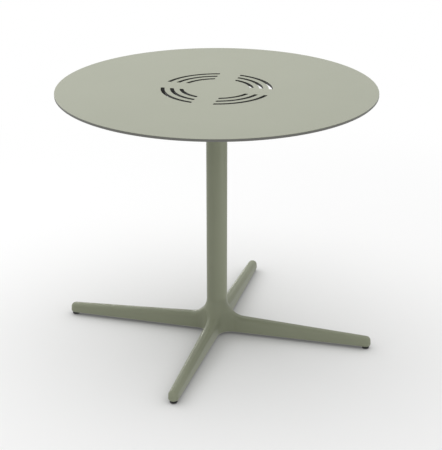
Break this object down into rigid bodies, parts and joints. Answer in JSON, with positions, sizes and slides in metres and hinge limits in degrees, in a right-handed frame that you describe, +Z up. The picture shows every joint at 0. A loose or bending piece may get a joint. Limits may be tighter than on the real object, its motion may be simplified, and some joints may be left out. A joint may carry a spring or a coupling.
{
  "type": "garden table",
  "caption": "Round pedestal garden table: flat slotted laminate top with a dark core on a plain round column, with a low star base of tapering arms on screw-adjusted levelling feet.",
  "frame": {"origin": "on the floor, under the column's axis", "axes": "+Z up along the column; +X and +Y along two neighbouring base arms"},
  "size_m": [0.9259, 0.926, 0.75],
  "materials": {
    "sage_laminate": "satin sage grey-green compact laminate with a dark core at its edges",
    "sage_powder_coat": "satin sage grey-green powder coat on aluminium",
    "black_powder_coat": "matt black powder coat on aluminium",
    "zinc_steel": "zinc plated",
    "black_nylon": "moulded",
    "black_rubber": "matt",
    "brass": "turned"
  },
  "bodies": {
    "table": {"tabletop": "sage_laminate", "top_spider": "black_powder_coat", "column_tube": "sage_powder_coat", "base_casting": "sage_powder_coat", "tabletop_screws": "zinc_steel", "tabletop_washers": "zinc_steel", "tie_rod": "zinc_steel", "upper_nut": "zinc_steel", "upper_washer": "zinc_steel", "lower_nut": "zinc_steel", "lower_washer": "zinc_steel", "spider_pads": "black_rubber", "hub_cap": "black_nylon", "foot_inserts": "brass"},
    "pad_1": {"foot_pad_1": "black_nylon"},
    "stud_1": {"foot_stud_1": "zinc_steel"},
    "pad_2": {"foot_pad_2": "black_nylon"},
    "stud_2": {"foot_stud_2": "zinc_steel"},
    "pad_3": {"foot_pad_3": "black_nylon"},
    "stud_3": {"foot_stud_3": "zinc_steel"},
    "pad_4": {"foot_pad_4": "black_nylon"},
    "stud_4": {"foot_stud_4": "zinc_steel"}
  },
  "joints": [
    {"name": "foot_1_travel", "type": "slide", "parent": "table", "child": "pad_1", "axis": [0, 0, -1], "range_m": [0, 0.0075]},
    {"name": "foot_1_turn", "type": "hinge", "parent": "pad_1", "child": "stud_1", "pos_m": [0.448, 0, 0.0073], "axis": [0, 0, -1], "range_deg": [0, 2160]},
    {"name": "foot_2_travel", "type": "slide", "parent": "table", "child": "pad_2", "axis": [0, 0, -1], "range_m": [0, 0.0075]},
    {"name": "foot_2_turn", "type": "hinge", "parent": "pad_2", "child": "stud_2", "pos_m": [0, 0.448, 0.0073], "axis": [0, 0, -1], "range_deg": [0, 2160]},
    {"name": "foot_3_travel", "type": "slide", "parent": "table", "child": "pad_3", "axis": [0, 0, -1], "range_m": [0, 0.0075]},
    {"name": "foot_3_turn", "type": "hinge", "parent": "pad_3", "child": "stud_3", "pos_m": [-0.448, 0, 0.0073], "axis": [0, 0, -1], "range_deg": [0, 2160]},
    {"name": "foot_4_travel", "type": "slide", "parent": "table", "child": "pad_4", "axis": [0, 0, -1], "range_m": [0, 0.0075]},
    {"name": "foot_4_turn", "type": "hinge", "parent": "pad_4", "child": "stud_4", "pos_m": [0, -0.448, 0.0073], "axis": [0, 0, -1], "range_deg": [0, 2160]}
  ],
  "couplings": [
    {"joint": "foot_1_travel", "follows": "foot_1_turn", "m_per_rad": 0.00019894},
    {"joint": "foot_2_travel", "follows": "foot_2_turn", "m_per_rad": 0.00019894},
    {"joint": "foot_3_travel", "follows": "foot_3_turn", "m_per_rad": 0.00019894},
    {"joint": "foot_4_travel", "follows": "foot_4_turn", "m_per_rad": 0.00019894}
  ]
}
